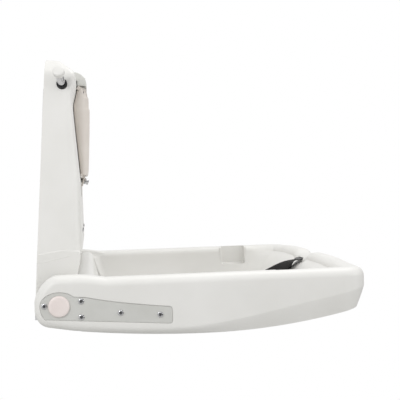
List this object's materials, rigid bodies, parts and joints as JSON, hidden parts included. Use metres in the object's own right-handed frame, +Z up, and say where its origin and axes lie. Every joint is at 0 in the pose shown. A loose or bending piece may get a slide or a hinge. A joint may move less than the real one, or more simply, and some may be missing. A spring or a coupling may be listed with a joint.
{
  "type": "baby changing station",
  "caption": "Wall-mounted folding baby changing station: hollow moulded bed on side hinges, back panel with bag hooks, locked liner dispenser and a safety strap.",
  "frame": {"origin": "middle of the steel wall frame's rear face, on the wall", "axes": "+X along the wall, +Y into the wall, +Z up; the bed opens towards -Y"},
  "size_m": [0.8552, 0.5859, 0.4744],
  "materials": {
    "moulded_shell": "fine satin",
    "moulded_cover": "satin",
    "door_plastic": "satin",
    "cap_plastic": "satin",
    "hinge_plate": "satin paint",
    "frame_paint": "light powder coat",
    "steel": "zinc plated",
    "chrome": "polished",
    "webbing": "woven nylon",
    "buckle_plastic": "fine grain",
    "rubber": "matte",
    "paper": "soft paper",
    "bush": "self-lubricating"
  },
  "bodies": {
    "wall_unit": {"back_panel": "moulded_shell", "hook_cap_left": "moulded_shell", "hook_cap_right": "moulded_shell", "dispenser_hood": "moulded_cover", "liner_bin": "moulded_cover", "wall_frame": "frame_paint", "hook_nut_left": "steel", "hook_nut_right": "steel", "door_pin_left": "steel", "door_pin_right": "steel", "hook_shank_left": "chrome", "hook_shank_right": "chrome", "panel_screw_upper_left": "chrome", "panel_screw_upper_right": "chrome", "panel_screw_lower_left": "chrome", "panel_screw_lower_right": "chrome", "open_stop_left": "rubber", "open_stop_right": "rubber", "hinge_damper_left": "rubber", "hinge_damper_right": "rubber", "hook_bezel_left": "rubber", "hook_bezel_right": "rubber", "liner_stack": "paper", "pivot_bush_left": "bush", "pivot_bush_right": "bush"},
    "bed": {"bed_shell": "moulded_shell", "bed_cover": "moulded_cover", "cross_tube": "steel", "strap_anchor_front": "buckle_plastic", "strap_anchor_rear": "buckle_plastic", "strap_front": "webbing", "strap_rear": "webbing", "buckle_socket": "buckle_plastic", "buckle_tongue": "buckle_plastic", "cover_screw_1": "steel", "cover_screw_2": "steel", "cover_screw_3": "steel", "cover_screw_4": "steel", "pivot_pin_left": "steel", "pivot_pin_right": "steel", "hinge_plate_left": "hinge_plate", "hinge_plate_right": "hinge_plate", "hinge_cap_left": "cap_plastic", "hinge_cap_right": "cap_plastic", "plate_screw_left_1": "chrome", "plate_screw_left_2": "chrome", "plate_screw_left_3": "chrome", "plate_screw_left_4": "chrome", "plate_screw_left_5": "chrome", "plate_screw_right_1": "chrome", "plate_screw_right_2": "chrome", "plate_screw_right_3": "chrome", "plate_screw_right_4": "chrome", "plate_screw_right_5": "chrome"},
    "door": {"dispenser_door": "door_plastic"},
    "lock": {"lock_barrel": "chrome", "lock_cam": "steel"},
    "press_left": {"buckle_press_left": "buckle_plastic"},
    "press_right": {"buckle_press_right": "buckle_plastic"}
  },
  "joints": [
    {"name": "bed_fold", "type": "hinge", "parent": "wall_unit", "child": "bed", "pos_m": [0, -0.052, -0.18], "axis": [1, 0, 0], "range_deg": [-86.1, 0], "deforming": ["strap_front"]},
    {"name": "door_swing", "type": "hinge", "parent": "wall_unit", "child": "door", "pos_m": [0, -0.0765, 0.2075], "axis": [-1, 0, 0], "range_deg": [0, 75]},
    {"name": "lock_turn", "type": "hinge", "parent": "door", "child": "lock", "pos_m": [0, -0.08452, 0.037], "axis": [0, -0.9781, -0.2079], "range_deg": [0, 90]},
    {"name": "press_left", "type": "slide", "parent": "bed", "child": "press_left", "axis": [1, 0, 0], "range_m": [0, 0.0025], "stiffness_N_per_m": 400},
    {"name": "press_right", "type": "slide", "parent": "bed", "child": "press_right", "axis": [-1, 0, 0], "range_m": [0, 0.0025], "stiffness_N_per_m": 400}
  ]
}
